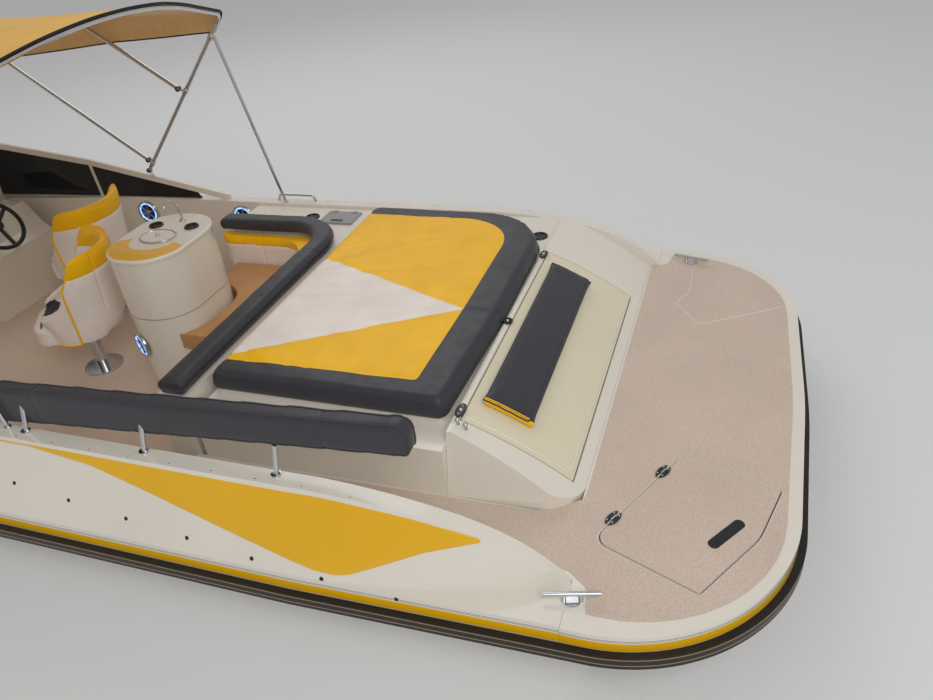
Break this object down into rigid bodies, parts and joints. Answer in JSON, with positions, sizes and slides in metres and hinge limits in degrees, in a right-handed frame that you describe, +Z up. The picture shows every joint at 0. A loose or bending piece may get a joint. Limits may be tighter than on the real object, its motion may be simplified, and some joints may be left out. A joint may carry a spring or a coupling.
{
  "type": "sport day boat with a sterndrive, swim platform and folding canopy",
  "caption": "Golden yellow and white day boat afloat, with swim platform, sunpad, lounge, wet bar and bimini.",
  "frame": {"origin": "centreline at the waterline, below the after face of the transom trunk", "axes": "+X towards the bow, +Y to port, +Z up"},
  "size_m": [8.8288, 2.936, 3.0844],
  "materials": {
    "gelcoat_white": "glossy white gelcoat",
    "gelcoat_yellow": "glossy golden yellow gelcoat",
    "nonskid": "fine stippled nonskid",
    "vinyl_white": "satin vinyl, piped",
    "vinyl_yellow": "satin vinyl, piped",
    "vinyl_charcoal": "satin vinyl, piped",
    "vinyl_tan": "satin vinyl",
    "canvas_yellow": "woven acrylic canvas",
    "stainless": "polished",
    "rubber_black": "matt",
    "glass_smoked": "smoked, clear",
    "drive_paint": "satin paint",
    "propeller_steel": "ground",
    "engine_paint": "satin paint"
  },
  "bodies": {
    "root": {"bimini_canopy": "canvas_yellow", "bimini_main_bow": "stainless", "bimini_struts": "stainless", "bolster_posts": "stainless", "bow_cushions": "vinyl_white", "cleats": "stainless", "coaming_roll": "vinyl_charcoal", "cockpit_sole": "nonskid", "consoles": "gelcoat_white", "drive_bracket": "drive_paint", "engine": "engine_paint", "engine_box": "gelcoat_white", "foredeck": "gelcoat_white", "grab_rail": "stainless", "hull": "gelcoat_white", "lounge_backrest": "vinyl_yellow", "lounge_base": "gelcoat_white", "lounge_cushion": "vinyl_tan", "lounge_shell": "gelcoat_white", "port_bolster": "vinyl_charcoal", "quarterdeck": "gelcoat_white", "rub_rail": "rubber_black", "seat_pedestals": "stainless", "side_port": "gelcoat_white", "side_starboard": "gelcoat_white", "swim_platform": "nonskid", "transom_trunk": "gelcoat_white", "wet_bar": "gelcoat_white", "wet_bar_top": "gelcoat_yellow", "windscreen_frame": "gelcoat_white", "windscreen_glass": "glass_smoked"},
    "ladder_lid": {"ladder_lid": "gelcoat_white"},
    "transom_lid": {"transom_lid": "gelcoat_white", "transom_cushion": "vinyl_charcoal"},
    "engine_hatch": {"engine_hatch": "gelcoat_white", "sunpad": "vinyl_white"},
    "deck_lid": {"deck_lid": "gelcoat_white"},
    "bimini_front": {"bimini_front_bow": "stainless"},
    "bimini_mid": {"bimini_mid_bow": "stainless"},
    "drive_gimbal": {"drive_gimbal": "drive_paint"},
    "drive_leg": {"drive_leg": "drive_paint"},
    "propeller": {"propeller": "propeller_steel"},
    "steering_wheel": {"steering_wheel": "rubber_black"},
    "companion_seat": {"companion_seat": "vinyl_white"},
    "helm_seat": {"helm_seat": "vinyl_white"}
  },
  "joints": [
    {"name": "ladder_lid_hinge", "type": "hinge", "parent": "root", "child": "ladder_lid", "pos_m": [-0.2125, 0.7325, 0.426], "axis": [0.4505, 0.8928, 0], "range_deg": [0, 100]},
    {"name": "transom_lid_hinge", "type": "hinge", "parent": "root", "child": "transom_lid", "pos_m": [0.503, 0, 0.712], "axis": [0, 1, 0], "range_deg": [0, 75]},
    {"name": "engine_hatch_hinge", "type": "hinge", "parent": "root", "child": "engine_hatch", "pos_m": [1.86, 0, 0.69], "axis": [0, 1, 0], "range_deg": [0, 40]},
    {"name": "deck_lid_hinge", "type": "hinge", "parent": "root", "child": "deck_lid", "pos_m": [1.945, -1.13, 0.712], "axis": [1, 0, 0], "range_deg": [0, 100]},
    {"name": "bimini_front_fold", "type": "hinge", "parent": "root", "child": "bimini_front", "pos_m": [3.42713, 0, 1.02238], "axis": [0, -1, 0], "range_deg": [0, 85], "deforming": ["bimini_canopy"]},
    {"name": "bimini_mid_fold", "type": "hinge", "parent": "root", "child": "bimini_mid", "pos_m": [2.97019, 0, 1.51239], "axis": [0, -1, 0], "range_deg": [0, 85]},
    {"name": "drive_steer", "type": "hinge", "parent": "root", "child": "drive_gimbal", "pos_m": [-0.2, 0, -0.095], "axis": [0, 0, 1], "range_deg": [-30, 30]},
    {"name": "drive_tilt", "type": "hinge", "parent": "drive_gimbal", "child": "drive_leg", "pos_m": [-0.282, 0, -0.08], "axis": [0, 1, 0], "range_deg": [0, 45]},
    {"name": "propeller_spin", "type": "hinge", "parent": "drive_leg", "child": "propeller", "pos_m": [-0.5453, 0, -0.7], "axis": [1, 0, 0], "continuous": true},
    {"name": "steering_wheel_turn", "type": "hinge", "parent": "root", "child": "steering_wheel", "pos_m": [4.35847, -0.56, 0.75602], "axis": [0.8321, 0, -0.5547], "range_deg": [-540, 540]},
    {"name": "companion_seat_swivel", "type": "hinge", "parent": "root", "child": "companion_seat", "pos_m": [3.17, 0.05, 0.44], "axis": [0, 0, 1], "continuous": true},
    {"name": "helm_seat_swivel", "type": "hinge", "parent": "root", "child": "helm_seat", "pos_m": [3.65, -0.6, 0.44], "axis": [0, 0, 1], "continuous": true}
  ],
  "couplings": [
    {"joint": "bimini_mid_fold", "follows": "bimini_front_fold", "ratio": 1},
    {"joint": "steering_wheel_turn", "follows": "drive_steer", "ratio": 18}
  ]
}
